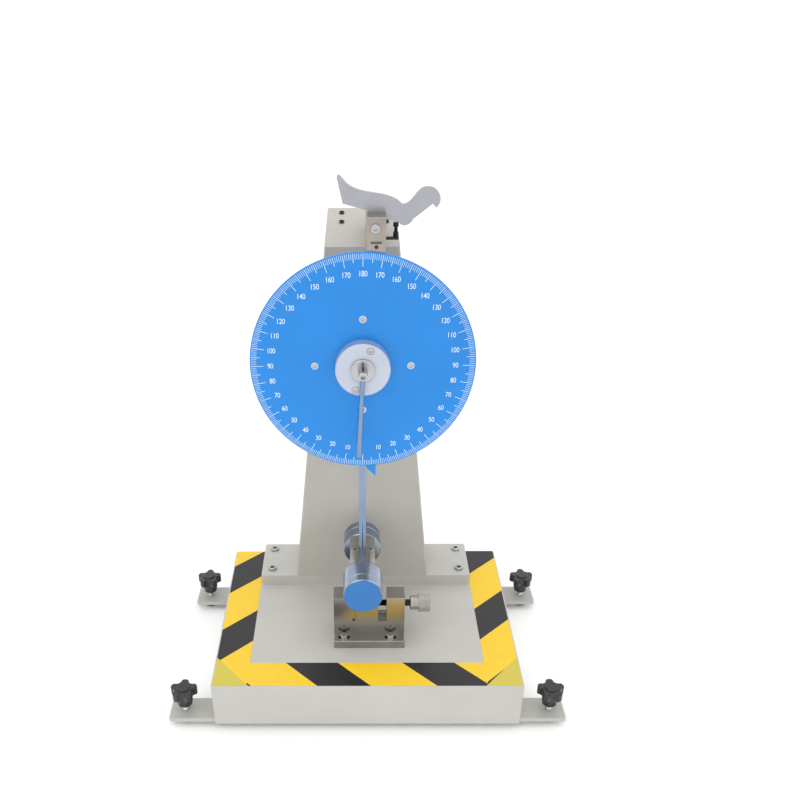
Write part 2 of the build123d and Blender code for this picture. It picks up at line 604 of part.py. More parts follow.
def dial_carrier():
    """Round plate behind the dial with a strip that rises to the latch bracket."""
    disc = rod_y(TOWER_X, SHAFT_Z, CARRIER_FRONT, CARRIER_BACK, CARRIER_R)
    strip = block(
        BRACKET_X - BRACKET_W / 2, BRACKET_X + BRACKET_W / 2, CARRIER_FRONT, CARRIER_BACK,
        SHAFT_Z + CARRIER_R / 2, BRACKET_Z0 + CHEEK_LAP,
    )
    plate = disc + strip - rod_y(TOWER_X, SHAFT_Z, CARRIER_FRONT - 1, CARRIER_BACK + 1, BEARING_OUTER_R)
    for x, z in dial_screw_places():
        plate -= rod_y(x, z, CARRIER_FRONT - 1, CARRIER_BACK + 1, SMALL_SCREW_R)
    for z in strip_screw_heights():
        plate -= rod_y(BRACKET_X, z, CARRIER_FRONT - 1, CARRIER_BACK + 1, SMALL_SCREW_R)
    slot = Pos(BRACKET_X, CHEEK_SLOT_Z) * SlotOverall(CHEEK_SLOT_W, CHEEK_SLOT_H)
    plate -= plate_xz(slot, CARRIER_FRONT - 1, CARRIER_BACK + 1)
    return plate


def spacer_places():
    """Centres of the two standoffs above the shaft, inside the sector the rod never reaches."""
    angles = [math.radians(90 + side * SPACER_ANGLE) for side in (-1, 1)]
    return [(TOWER_X + SPACER_AT * math.cos(a), SHAFT_Z + SPACER_AT * math.sin(a)) for a in angles]


def carrier_spacers():
    """Two round standoffs that hold the dial's carrier off the column."""
    return [rod_y(x, z, CARRIER_BACK, TOWER_Y0, SPACER_R) for x, z in spacer_places()]


def strip_screw_heights():
    """Heights of the screws that join the carrier's strip to the bracket."""
    return [BRACKET_Z0 + 5]


def dial():
    """Round scale plate with a centre hole and screw holes."""
    plate = rod_y(TOWER_X, SHAFT_Z, DIAL_FRONT, CARRIER_FRONT, DIAL_R)
    plate = chamfer(plate.edges().group_by(Axis.Y)[0], 0.6)
    plate -= rod_y(TOWER_X, SHAFT_Z, DIAL_FRONT - 1, CARRIER_FRONT + 1, BEARING_OUTER_R)
    for x, z in dial_screw_places():
        plate -= rod_y(x, z, DIAL_FRONT - 1, CARRIER_FRONT + 1, SMALL_SCREW_R)
    return plate


def dial_screws():
    """Small flat screws through the dial into its carrier."""
    screw = Rot(90, 0, 0) * socket_screw(SMALL_SCREW_R, SMALL_HEAD_R * 0.8, 1.4, DIAL_T + CARRIER_T)
    return [Pos(x, DIAL_FRONT, z) * screw for x, z in dial_screw_places()]


def dial_flange():
    """White round flange in front of the dial that houses the front bearing."""
    front, back = FLANGE_FRONT, DIAL_FRONT
    seat_y = back - BEARING_W
    profile = [
        (SHAFT_NOSE_R + 1, front), (FLANGE_R - FLANGE_EDGE, front), (FLANGE_R, front + FLANGE_EDGE),
        (FLANGE_R, back), (BEARING_OUTER_R, back), (BEARING_OUTER_R, seat_y), (SHAFT_NOSE_R + 1, seat_y),
    ]
    flange = turned_y(profile, TOWER_X, SHAFT_Z)
    for x, z in flange_screw_places():
        flange -= rod_y(x, z, front - 1, back + 1, SMALL_SCREW_R)
        flange -= rod_y(x, z, front - 1, front + SMALL_HEAD_H, SMALL_HEAD_R + 0.4)
    return flange


def flange_screw_places():
    """Centres of the two screws in the flange's face."""
    angles = [math.radians(FLANGE_SCREW_ANGLE + turn) for turn in (0, 180)]
    r = FLANGE_SCREW_PCD_R
    return [(TOWER_X + r * math.cos(a), SHAFT_Z + r * math.sin(a)) for a in angles]


def flange_screws():
    """Socket screws sunk in the flange."""
    screw = Rot(90, 0, 0) * socket_screw(SMALL_SCREW_R, SMALL_HEAD_R, SMALL_HEAD_H, FLANGE_H - SMALL_HEAD_H)
    return [Pos(x, FLANGE_FRONT + SMALL_HEAD_H, z) * screw for x, z in flange_screw_places()]


def pointer_hub():
    """Flat friction disc behind the pointer's collar."""
    bore = SHAFT_NOSE_R + RUNNING
    profile = [
        (bore, POINTER_FRONT), (POINTER_HUB_R - 1, POINTER_FRONT), (POINTER_HUB_R, POINTER_FRONT + 1),
        (POINTER_HUB_R, POINTER_BACK), (bore, POINTER_BACK),
    ]
    return turned_y(profile, TOWER_X, SHAFT_Z)


def needle_frame():
    """Frame on the shaft line whose lower half runs along the needle."""
    return Pos(TOWER_X, POINTER_FRONT - NEEDLE_FROM_HUB_FACE, SHAFT_Z) * Rot(0, NEEDLE_ANGLE, 0)


def pointer_needle():
    """Round needle from the collar down to the scale, a little thicker at its end."""
    start = SHAFT_NOSE_R + 0.6
    step = COLLAR_R + 0.6
    profile = [
        (0, -start), (NEEDLE_ROOT_R, -start), (NEEDLE_ROOT_R, -step), (NEEDLE_R, -step - 0.8),
        (NEEDLE_TIP_R, -NEEDLE_LEN + 0.8), (NEEDLE_TIP_R - 0.8, -NEEDLE_LEN), (0, -NEEDLE_LEN),
    ]
    return needle_frame() * turned_z(profile, 0, 0)


def pointer_collar():
    """Setting collar in front of the disc, with the shaft's end deep inside it."""
    bore, lip = SHAFT_NOSE_R + RUNNING, SHAFT_NOSE_R - 1
    stop = COLLAR_FRONT + SHAFT_SET_BACK - RUNNING
    profile = [
        (lip, COLLAR_FRONT), (COLLAR_R - 1, COLLAR_FRONT), (COLLAR_R, COLLAR_FRONT + 1),
        (COLLAR_R, POINTER_FRONT), (bore, POINTER_FRONT), (bore, stop), (lip, stop),
    ]
    collar = turned_y(profile, TOWER_X, SHAFT_Z)
    collar -= rod_z(TOWER_X, lock_pin_y(), SHAFT_Z + SHAFT_NOSE_R, SHAFT_Z + COLLAR_R + 1, LOCK_PIN_R)
    return collar - needle_frame() * rod_z(0, 0, -COLLAR_R - 1, -SHAFT_NOSE_R, NEEDLE_ROOT_R)


def lock_pin_y():
    """Where the lock pin stands along the collar."""
    return COLLAR_FRONT + COLLAR_H * 0.55


def pointer_lock_pin():
    """Grub pin that stands up out of the collar."""
    y = lock_pin_y()
    pin = rod_z(TOWER_X, y, SHAFT_Z + SHAFT_NOSE_R + 0.6, SHAFT_Z + LOCK_PIN_LEN, LOCK_PIN_R)
    return chamfer(pin.edges().group_by(Axis.Z)[-1], 0.5)


def latch_bracket():
    """Arm from the column's roof over the pendulum, forked at its front for the lever."""
    x0, x1 = BRACKET_X - BRACKET_W / 2, BRACKET_X + BRACKET_W / 2
    cheek_y0, rear_y = LEVER_Y0 - LEVER_PLAY - CHEEK_T, LEVER_Y1 + LEVER_PLAY
    fork_y = rear_y + CHEEK_T
    saddle_y = (TOWER_Y0 + TOWER_Y1) / 2
    roof_rise = (COLUMN_REAR_H - COLUMN_FRONT_H) / 2
    z_roof = FOOT_TOP + COLUMN_FRONT_H
    side = Polygon(
        (cheek_y0, BRACKET_Z0), (fork_y + CHEEK_T, BRACKET_Z0), (TOWER_Y0, z_roof),
        (saddle_y, z_roof + roof_rise), (saddle_y, ARM_TOP - CHEEK_T), (saddle_y - CHEEK_T, ARM_TOP),
        (fork_y + CHEEK_T, ARM_TOP), (fork_y, BRACKET_TOP), (cheek_y0, BRACKET_TOP), align=None,
    )
    arm = Pos(x0, 0, 0) * extrude(Plane.YZ * side, BRACKET_W)
    arm -= block(x0 - 1, x1 + 1, LEVER_Y0 - LEVER_PLAY, rear_y, BRACKET_Z0 + 10, BRACKET_TOP + 1)
    arm -= rod_y(PIVOT_X, PIVOT_Z, cheek_y0 - 1, fork_y, PIVOT_R)
    for z in strip_screw_heights():
        arm -= rod_y(BRACKET_X, z, cheek_y0 - 1, cheek_y0 + CHEEK_T, SMALL_SCREW_R)
    return arm - rod_x(anchor_y(), SPRING_BOTTOM_Z, x1 - CHEEK_T, x1 + 1, ANCHOR_R)


def front_cheek():
    """Polished stepped block between the carrier's strip and the forked arm."""
    x0, x1 = BRACKET_X - BRACKET_W / 2, BRACKET_X + BRACKET_W / 2
    y1 = LEVER_Y0 - LEVER_PLAY - CHEEK_T
    lap = BRACKET_Z0 + CHEEK_LAP
    plate = block(x0, x1, CARRIER_BACK, y1, BRACKET_Z0, BRACKET_TOP)
    plate += block(x0, x1, CARRIER_FRONT, CARRIER_BACK, lap, BRACKET_TOP)
    plate = chamfer(plate.edges().filter_by(Axis.X).group_by(Axis.Z)[-1].sort_by(Axis.Y)[0], 1)
    plate -= rod_y(PIVOT_X, PIVOT_Z, CARRIER_FRONT - 1, y1 + 1, PIVOT_R)
    for z in strip_screw_heights():
        plate -= rod_y(BRACKET_X, z, CARRIER_FRONT - 1, y1 + 1, SMALL_SCREW_R)
    return plate


def bracket_screw():
    """Screw that joins the carrier's strip, the cheek and the arm from behind the dial's rim."""
    y1 = LEVER_Y0 - LEVER_PLAY
    return [rod_y(BRACKET_X, z, CARRIER_FRONT, y1, SMALL_SCREW_R) for z in strip_screw_heights()]


def pivot_pin():
    """Latch pivot with a round socket head in front and its end in the rear cheek."""
    y1 = LEVER_Y1 + LEVER_PLAY + CHEEK_T
    pin = rod_y(PIVOT_X, PIVOT_Z, CARRIER_FRONT, y1, PIVOT_R)
    head = rod_y(PIVOT_X, PIVOT_Z, CARRIER_FRONT - PIVOT_HEAD_H, CARRIER_FRONT, PIVOT_HEAD_R)
    head = fillet(head.edges().group_by(Axis.Y)[0], 1)
    hexagon = RegularPolygon(PIVOT_HEAD_R * 0.55, 6)
    socket = Pos(PIVOT_X, CARRIER_FRONT - PIVOT_HEAD_H, PIVOT_Z) * Rot(-90, 0, 0) * extrude(hexagon, 2.2)
    return pin + head - socket


def anchor_y():
    """The plane of the return spring, in front of the lever."""
    return LEVER_Y0 + LEVER_T / 2


def lever_outline():
    """Side view of the latch lever: thumb horn at the left, hooked arm at the right."""
    x, r, z = TOWER_X, PIVOT_HEAD_R + 4, PIVOT_Z
    horn, barb, notch = (x - 31.1, 746.9), (x + 88.3, 711.4), (x + 84, 715.9)
    with BuildLine() as line:
        top = (x - 29.9, 749.2)
        Spline(horn, top, (x - 22.4, 743.4), (x - 14, 736.4), (x + 4.3, 730.4), (x + 47.3, 715.7))
        Spline((x + 47.3, 715.7), (x + 49.8, 715.7), (x + 67.9, 731.9), (x + 79.1, 735.3))
        Spline((x + 79.1, 735.3), (x + 89, 731), (x + 93.1, 721.4), (x + 90.3, 713.3), barb)
        Line(barb, notch)
        Line(notch, (x + 60.7, 697.9))
        Spline((x + 60.7, 697.9), (x + 55.6, 692.2), (x + 50.4, 690.7), (x + 43, 695.4))
        Line((x + 43, 695.4), (PIVOT_X + r, z + 6))
        Line((PIVOT_X + r, z + 6), (PIVOT_X + r, z))
        ThreePointArc((PIVOT_X + r, z), (PIVOT_X, z - r), (PIVOT_X - r, z))
        Line((PIVOT_X - r, z), (PIVOT_X - r, 708.5))
        Line((PIVOT_X - r, 708.5), (x - 24.3, 716.7))
        Line((x - 24.3, 716.7), horn)
    return make_face(line.line)


def latch_lever():
    """Flat steel lever that holds the raised pendulum by its pin."""
    lever = plate_xz(lever_outline(), LEVER_Y0, LEVER_Y1)
    lever -= rod_y(PIVOT_X, PIVOT_Z, LEVER_Y0 - 1, LEVER_Y1 + 1, PIVOT_R + RUNNING)
    return lever - rod_y(SPRING_X, SPRING_TOP_Z + 3, LEVER_Y0 - 1, LEVER_Y1 + 1, ANCHOR_R / 2)


def spring_anchor():
    """Side pin on the bracket that holds the spring's lower end."""
    x1 = BRACKET_X + BRACKET_W / 2
    return rod_x(anchor_y(), SPRING_BOTTOM_Z, x1 - CHEEK_T, SPRING_X + SPRING_END_R, ANCHOR_R)


def return_spring():
    """Small tension spring with a wound boss at each end, from the anchor pin up to the lever."""
    z0, z1 = SPRING_BOTTOM_Z + ANCHOR_R + 0.3, lever_underside(SPRING_X) - 1.8
    y = anchor_y()
    ends = [rod_z(SPRING_X, y, z0, z0 + SPRING_END_H, SPRING_END_R)]
    ends.append(rod_z(SPRING_X, y, z1 - SPRING_END_H, z1, SPRING_END_R))
    core = rod_z(SPRING_X, y, z0, z1, SPRING_COIL_R - SPRING_WIRE_R)
    z = z0 + SPRING_END_H + SPRING_PITCH / 2
    while z < z1 - SPRING_END_H:
        core += Pos(SPRING_X, y, z) * Torus(SPRING_COIL_R - SPRING_WIRE_R / 2, SPRING_WIRE_R)
        z += SPRING_PITCH
    return ends[0] + core + ends[1]


def lever_underside(x):
    """Height of the lever's lower edge between the pivot and the dip, at x."""
    x0, z0 = PIVOT_X + PIVOT_HEAD_R + 4, PIVOT_Z + 6
    x1, z1 = TOWER_X + 43, 695.4
    return z0 + (z1 - z0) * (x - x0) / (x1 - x0)


def vise_body():
    """U-shaped vise with bolt strips in front and behind and a guide groove in its floor."""
    z0 = BASE_TOP
    half = VISE_BODY_D / 2
    side = Polygon(
        (VISE_X0, z0), (VISE_X1, z0), (VISE_X1, VISE_TOP_Z), (END_BLOCK_X0, VISE_TOP_Z),
        (END_BLOCK_X0, VISE_FLOOR_Z), (VISE_X0 + FIXED_JAW_W, VISE_FLOOR_Z),
        (VISE_X0 + FIXED_JAW_W, VISE_TOP_Z), (VISE_X0, VISE_TOP_Z), align=None,
    )
    body = plate_xz(side, VISE_Y - half, VISE_Y + half)
    strips = block(VISE_X0, VISE_X1, VISE_Y - VISE_BASE_D / 2, VISE_Y + VISE_BASE_D / 2, z0, z0 + VISE_BASE_T)
    body += chamfer(strips.faces().sort_by(Axis.Z)[-1].edges(), 0.8)
    groove = TONGUE_W / 2 + JAW_PLAY
    body -= block(
        VISE_X0 + FIXED_JAW_W, END_BLOCK_X0, VISE_Y - groove, VISE_Y + groove,
        VISE_FLOOR_Z - TONGUE_H - JAW_PLAY, VISE_FLOOR_Z + 1,
    )
    body -= rod_x(VISE_Y, VISE_SCREW_Z, END_BLOCK_X0 - 1, VISE_X1 + 1, VISE_SCREW_R + RUNNING)
    slot = extrude(SlotOverall(VISE_SLOT_L, 2 * VISE_BOLT_R + 1), VISE_BASE_T + 2)
    for x, y in vise_bolt_places():
        body -= Pos(x, y, z0 - 1) * slot
    hole_end = VISE_Y - half + JAW_HOLE_DEPTH
    return body - rod_y(JAW_HOLE_X, JAW_HOLE_Z, VISE_Y - half - 1, hole_end, JAW_HOLE_R)


def vise_bolts():
    """Socket screws of the vise, heads on its strips."""
    screw = socket_screw(VISE_BOLT_R, VISE_BOLT_R * 1.9, VISE_BOLT_R * 1.6, VISE_BASE_T)
    return [Pos(x, y, BASE_TOP + VISE_BASE_T) * screw for x, y in vise_bolt_places()]


def moving_jaw():
    """Sliding jaw with a tongue in the guide groove and a seat for the screw's end."""
    half = VISE_BODY_D / 2
    z0 = VISE_FLOOR_Z + JAW_PLAY
    jaw = block(JAW_X0, JAW_X1, VISE_Y - half, VISE_Y + half, z0, VISE_TOP_Z)
    jaw = chamfer(jaw.edges().filter_by(Axis.Y).group_by(Axis.Z)[-1].sort_by(Axis.X)[-1], JAW_CHAMFER)
    jaw += block(JAW_X0, JAW_X1, VISE_Y - TONGUE_W / 2, VISE_Y + TONGUE_W / 2, VISE_FLOOR_Z - TONGUE_H, z0)
    seat = rod_x(VISE_Y, VISE_SCREW_Z, JAW_X1 - 10, JAW_X1 + 1, VISE_SCREW_R + RUNNING)
    return jaw - seat


def vise_screw():
    """Clamp screw from the jaw's seat through the end block to the knob."""
    x0, x1 = JAW_X1 - 9, VISE_X1 + KNOB_OFF_BLOCK + VISE_NECK_L
    gap0, gap1 = JAW_X1 + 1, END_BLOCK_X0 - 1
    profile = [(x0, 0), (x0, VISE_SCREW_R - 1), (x0 + 1, VISE_SCREW_R), (gap0, VISE_SCREW_R)]
    x = gap0
    while x + 1.5 < gap1:
        profile += [(x + 0.75, VISE_SCREW_R - 0.8), (x + 1.5, VISE_SCREW_R)]
        x += 1.5
    profile += [(x1, VISE_SCREW_R), (x1, 0)]
    outline = make_face(Polyline(*[(px, 0, pr) for px, pr in profile], close=True))
    return Pos(0, VISE_Y, VISE_SCREW_Z) * revolve(outline, Axis.X)


def vise_knob():
    """Stepped knurled knob on the clamp screw."""
    x0 = VISE_X1 + KNOB_OFF_BLOCK
    neck = rod_x(VISE_Y, VISE_SCREW_Z, x0, x0 + VISE_NECK_L, VISE_NECK_R)
    neck = chamfer(neck.edges().group_by(Axis.X)[0], 1)
    rim = Circle(VISE_KNOB_R) - PolarLocations(VISE_KNOB_R + 0.35, VISE_KNURLS) * Circle(0.9)
    head = Plane.YZ.offset(x0 + VISE_NECK_L) * rim
    head = Pos(0, VISE_Y, VISE_SCREW_Z) * extrude(head, VISE_KNOB_L)
    knob = neck + head
    return knob - rod_x(VISE_Y, VISE_SCREW_Z, x0 - 1, x0 + VISE_NECK_L, VISE_SCREW_R)


def build():
    """Model every sub-part and write it."""
    os.makedirs("parts", exist_ok=True)
    save("base_cover", base_cover())
    save("base_rails", base_rails())
    save("front_cross_bar", cross_bar(FRONT_BAR_Y))
    save("rear_cross_bar", cross_bar(REAR_BAR_Y))
    save("bar_screws", bar_screws())
    save("hazard_tape", hazard_tape())
    save("levelling_pads", levelling_pads())
    corners = {"fl": (-1, FRONT_BAR_Y), "fr": (1, FRONT_BAR_Y), "rl": (-1, REAR_BAR_Y), "rr": (1, REAR_BAR_Y)}
    for corner, (side, y) in corners.items():
        save(f"levelling_stud_{corner}", stud(side * STUD_X, y))
        save(f"star_knob_{corner}", star_knob(side * STUD_X, y))
    save("foot_plate", foot_plate())
    save("foot_screws", foot_screws())
    save("column_shell", column_shell())
    save("rear_cover", rear_cover())
    save("rear_cover_screws", rear_cover_screws())
    save("roof_screws", roof_screws())
    save("bearing_housing", bearing_housing())
    save("housing_screws", housing_screws())
    save("rear_bearing", ball_bearing(TOWER_Y0 - BEARING_W, SHAFT_R))
    save("middle_bearing", ball_bearing(HOUSING_FRONT, SHAFT_R))
    save("front_bearing", ball_bearing(DIAL_FRONT - BEARING_W, SHAFT_NOSE_R))
    save("pendulum_shaft", pendulum_shaft())
    save("pendulum_hub", pendulum_hub())
    save("pendulum_rod", pendulum_rod())
    save("front_weight", hammer_weight(FRONT_WEIGHT_Y0, BRIDGE_Y0, FRONT_WEIGHT_Y0 + GROOVE_IN))
    save("rear_weight", hammer_weight(BRIDGE_Y1, REAR_WEIGHT_Y1, REAR_WEIGHT_Y1 - GROOVE_IN))
    save("weight_cap", weight_cap())
    save("hammer_bridge", hammer_bridge())
    save("bridge_screws", bridge_screws())
    save("striker_blade", striker())
    save("catch_pin", catch_pin())
    save("scale_lug", scale_lug())
    save("dial_carrier", dial_carrier())
    save("carrier_spacers", carrier_spacers())
    save("dial", dial())
    save("dial_screws", dial_screws())
    save("dial_flange", dial_flange())
    save("flange_screws", flange_screws())
    save("pointer_hub", pointer_hub())
    save("pointer_needle", pointer_needle())
    save("pointer_collar", pointer_collar())
    save("pointer_lock_pin", pointer_lock_pin())
    save("latch_bracket", latch_bracket())
    save("front_cheek", front_cheek())
    save("bracket_screw", bracket_screw())
    save("pivot_pin", pivot_pin())
    save("latch_lever", latch_lever())
    save("spring_anchor", spring_anchor())
    save("return_spring", return_spring())
    save("vise_body", vise_body())
    save("vise_bolts", vise_bolts())
    save("moving_jaw", moving_jaw())
    save("vise_screw", vise_screw())
    save("vise_knob", vise_knob())


build()
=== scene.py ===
import logging
import math
from dataclasses import dataclass, field
from enum import Enum
from typing import Callable, Optional

import bmesh
import bpy
from mathutils import Matrix, Vector


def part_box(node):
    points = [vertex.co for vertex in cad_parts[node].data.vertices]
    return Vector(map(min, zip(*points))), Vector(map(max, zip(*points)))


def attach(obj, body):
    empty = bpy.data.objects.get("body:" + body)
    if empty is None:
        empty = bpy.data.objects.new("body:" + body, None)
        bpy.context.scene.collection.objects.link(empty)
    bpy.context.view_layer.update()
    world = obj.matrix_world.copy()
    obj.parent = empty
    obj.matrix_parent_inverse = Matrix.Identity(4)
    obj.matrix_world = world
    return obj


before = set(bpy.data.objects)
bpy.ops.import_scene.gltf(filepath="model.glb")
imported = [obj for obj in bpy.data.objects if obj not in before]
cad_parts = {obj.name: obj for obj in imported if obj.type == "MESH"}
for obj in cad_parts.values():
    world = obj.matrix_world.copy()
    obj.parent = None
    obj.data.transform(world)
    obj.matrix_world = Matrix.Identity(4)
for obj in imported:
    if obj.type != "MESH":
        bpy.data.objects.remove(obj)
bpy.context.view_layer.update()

MM = 0.001
FRAME = "frame"
SHAFT_CENTRE = (-0.006, 0.0, 0.52)
HAMMER_CENTRE = (-0.006, 0.0, 0.2)
CLAMP_CENTRE = (0.0, -0.055, 0.142)
logging.basicConfig(level=logging.INFO, format="%(message)s")
LOG = logging.getLogger("impact_tester")


def srgb(hex_code: str) -> tuple[float, float, float, float]:
    """Turn an sRGB hex value into a linear colour.

    Args:
        hex_code: six hex digits.

    Returns:
        Red, green, blue and alpha as linear values.
    """
    parts = [int(hex_code[i : i + 2], 16) / 255 for i in (0, 2, 4)]
    linear = [p / 12.92 if p <= 0.04045 else ((p + 0.055) / 1.055) ** 2.4 for p in parts]
    return (linear[0], linear[1], linear[2], 1.0)


def add_node(
    tree: bpy.types.NodeTree, kind: str, inputs: Optional[dict] = None, settings: Optional[dict] = None
) -> bpy.types.Node:
    """Add one shader node with its settings, values and links.

    Args:
        tree: the material's node tree.
        kind: the node's type name.
        inputs: socket names or numbers to a value or an output socket.
        settings: attribute names to values.

    Returns:
        The new node.
    """
    node = tree.nodes.new(kind)
    for name, value in (settings or {}).items():
        setattr(node, name, value)
    for name, value in (inputs or {}).items():
        if isinstance(value, bpy.types.NodeSocket):
            tree.links.new(value, node.inputs[name])
        else:
            node.inputs[name].default_value = value
    return node


class Grain(Enum):
    """How a surface was made, which decides its pattern."""

    POWDER = "sprayed powder with a fine orange peel"
    TURNED = "turned on a lathe about the Y axis"
    TURNED_X = "turned on a lathe about the X axis"
    BRUSHED = "ground along the X axis"
    DRAWN = "drawn along the Z axis"
    MOULDED = "moulded with a fine pebble"
    SMOOTH = "polished, with faint smears"


# How far a grain runs along its direction, as a share of its frequency across it
GRAIN_STRETCH = 0.03
# Frequency of the broad, cloudy unevenness that every finish has, per metre
BROAD_SCALE = 14.0
# How much the gloss varies either way of a finish's roughness, and its lowest value
ROUGHNESS_SPREAD, ROUGHNESS_FLOOR = 0.06, 0.03
COAT_ROUGHNESS = 0.12
BUMP_STRENGTH = 0.6
# Metals from this share up take their reflection from colour alone
METAL_FROM = 0.5


@dataclass(frozen=True)
class Finish:
    """One finish: what it is, its colours, its reflection and its grain.

    A grain pitch is a real size in millimetres, coarsened where it would be too fine to show.
    """

    name: str
    colour: str
    shade: str
    metallic: float
    roughness: float
    grain: Grain
    pitch_mm: float
    bump_mm: float
    coat: float = 0.0
    ior: float = 1.5

    def mapping(self, tree: bpy.types.NodeTree, centre: Vector) -> bpy.types.NodeSocket:
        """Object coordinates squeezed along the grain.

        Args:
            tree: the material's node tree.
            centre: the grain's centre, for turned work.

        Returns:
            The vector output that feeds the noise.
        """
        coords = add_node(tree, "ShaderNodeTexCoord").outputs["Object"]
        per_m = 1000.0 / self.pitch_mm
        stretch = {
            Grain.BRUSHED: (per_m * GRAIN_STRETCH, per_m, per_m),
            Grain.DRAWN: (per_m, per_m, per_m * GRAIN_STRETCH),
        }.get(self.grain, (per_m, per_m, per_m))
        shifted = add_node(
            tree, "ShaderNodeVectorMath", {0: coords, 1: tuple(centre)}, {"operation": "SUBTRACT"}
        ).outputs[0]
        if self.grain in (Grain.TURNED, Grain.TURNED_X):
            split = add_node(tree, "ShaderNodeSeparateXYZ", {0: shifted})
            across = ("X", "Z") if self.grain is Grain.TURNED else ("Y", "Z")
            along = "Y" if self.grain is Grain.TURNED else "X"
            flat = add_node(
                tree, "ShaderNodeCombineXYZ", {0: split.outputs[across[0]], 1: split.outputs[across[1]]}
            )
            radius = add_node(tree, "ShaderNodeVectorMath", {0: flat.outputs[0]}, {"operation": "LENGTH"})
            shifted = add_node(
                tree, "ShaderNodeCombineXYZ", {0: radius.outputs["Value"], 1: split.outputs[along]}
            ).outputs[0]
        return add_node(
            tree, "ShaderNodeVectorMath", {0: shifted, 1: stretch}, {"operation": "MULTIPLY"}
        ).outputs[0]

    def build(self, centre: Vector = Vector((0, 0, 0))) -> bpy.types.Material:
        """Make the material with its grain in colour, gloss and height.

        Args:
            centre: the grain's centre, for turned work.

        Returns:
            The new material.
        """
        material = bpy.data.materials.new(self.name)
        material.use_nodes = True
        tree = material.node_tree
        shader = tree.nodes["Principled BSDF"]
        shader.inputs["Metallic"].default_value = self.metallic
        if self.metallic < METAL_FROM:
            shader.inputs["IOR"].default_value = self.ior
        if self.coat:
            shader.inputs["Coat Weight"].default_value = self.coat
            shader.inputs["Coat Roughness"].default_value = COAT_ROUGHNESS
        vector = self.mapping(tree, centre)
        fine = add_node(tree, "ShaderNodeTexNoise", {"Vector": vector, "Scale": 1.0, "Detail": 3.0})
        coords = add_node(tree, "ShaderNodeTexCoord").outputs["Object"]
        broad = add_node(
            tree, "ShaderNodeTexNoise", {"Vector": coords, "Scale": BROAD_SCALE, "Detail": 2.0}
        )
        mixed = add_node(
            tree,
            "ShaderNodeMath",
            {0: fine.outputs["Fac"], 1: broad.outputs["Fac"]},
            {"operation": "MULTIPLY"},
        )
        spread = add_node(
            tree, "ShaderNodeMapRange", {"Value": mixed.outputs[0], "From Min": 0.12, "From Max": 0.42}
        )
        colour = add_node(
            tree,
            "ShaderNodeMix",
            {"Factor": spread.outputs[0], 6: srgb(self.shade), 7: srgb(self.colour)},
            {"data_type": "RGBA"},
        )
        tree.links.new(colour.outputs[2], shader.inputs["Base Color"])
        gloss = add_node(
            tree,
            "ShaderNodeMapRange",
            {
                "Value": fine.outputs["Fac"],
                "To Min": max(self.roughness - ROUGHNESS_SPREAD, ROUGHNESS_FLOOR),
                "To Max": self.roughness + ROUGHNESS_SPREAD,
            },
        )
        tree.links.new(gloss.outputs[0], shader.inputs["Roughness"])
        bump = add_node(
            tree,
            "ShaderNodeBump",
            {"Height": fine.outputs["Fac"], "Distance": self.bump_mm * MM, "Strength": BUMP_STRENGTH},
        )
        tree.links.new(bump.outputs[0], shader.inputs["Normal"])
        return material


# Polyester powder coat, baked: an even, soft sheen with a faint orange peel
POWDER_BASE = Finish("Powder_coat_base", "C1BFBA", "B9B7B1", 0.0, 0.46, Grain.POWDER, 1.6, 0.05)
POWDER_COLUMN = Finish("Powder_coat_column", "BCBAB3", "B4B1A9", 0.0, 0.48, Grain.POWDER, 1.6, 0.05)
POWDER_BARS = Finish("Powder_coat_bars", "BDBCB7", "B3B2AC", 0.0, 0.50, Grain.POWDER, 1.6, 0.05)
# Hot-rolled steel with mill scale: dull and uneven
MILL_STEEL = Finish("Mill_scale_steel", "6F6E6C", "565453", 0.7, 0.55, Grain.POWDER, 3.0, 0.08)
# Phenolic moulding: near black, with a broad gloss
PHENOLIC = Finish("Phenolic_moulding", "15171F", "0C0D12", 0.0, 0.30, Grain.MOULDED, 0.9, 0.04, 0.3)
# Nitrile rubber: matt and dark
RUBBER = Finish("Nitrile_rubber", "1E1E1F", "151515", 0.0, 0.75, Grain.MOULDED, 0.8, 0.05)
# Bright zinc plate on small screws and studs
ZINC = Finish("Bright_zinc_plate", "C9CACC", "A9AAAD", 1.0, 0.28, Grain.SMOOTH, 0.8, 0.01)
# Black oxide on springs and small screws: deep, slightly oily
BLACK_OXIDE = Finish("Black_oxide_steel", "17181B", "0C0C0E", 0.4, 0.38, Grain.SMOOTH, 0.8, 0.02)
DARK_SCREW = Finish("Blackened_screw", "4A4744", "35322F", 0.7, 0.42, Grain.SMOOTH, 0.8, 0.02)
# Turned and polished steel: rings round the lathe's axis, with the hammer and rod coloured darker and blue
# as a painted reflection of the blue dial
TURNED_STEEL = Finish("Turned_steel", "C8C9CB", "A8AAAD", 1.0, 0.26, Grain.TURNED, 0.7, 0.02)
HAMMER_STEEL = Finish("Polished_hammer_steel", "9DA9BC", "8693A8", 1.0, 0.18, Grain.TURNED, 0.9, 0.01)
DRAWN_ROD = Finish("Ground_steel_rod", "8FA2BE", "7789A6", 1.0, 0.18, Grain.DRAWN, 0.6, 0.01)
# Ground steel of the vise and latch: a fine, straight grain
GROUND_STEEL = Finish("Ground_tool_steel", "B2B0AC", "98958F", 1.0, 0.24, Grain.BRUSHED, 0.5, 0.015)
LEVER_STEEL = Finish("Bright_sheet_steel", "B0B1B7", "A2A3A9", 0.8, 0.30, Grain.BRUSHED, 0.6, 0.004)
CHEEK_STEEL = Finish("Ground_bracket_steel", "B6AFA8", "958E87", 0.9, 0.30, Grain.DRAWN, 0.6, 0.015)
KNURL_STEEL = Finish("Turned_knurled_steel", "BFBCB6", "989590", 0.9, 0.34, Grain.TURNED_X, 0.7, 0.02)
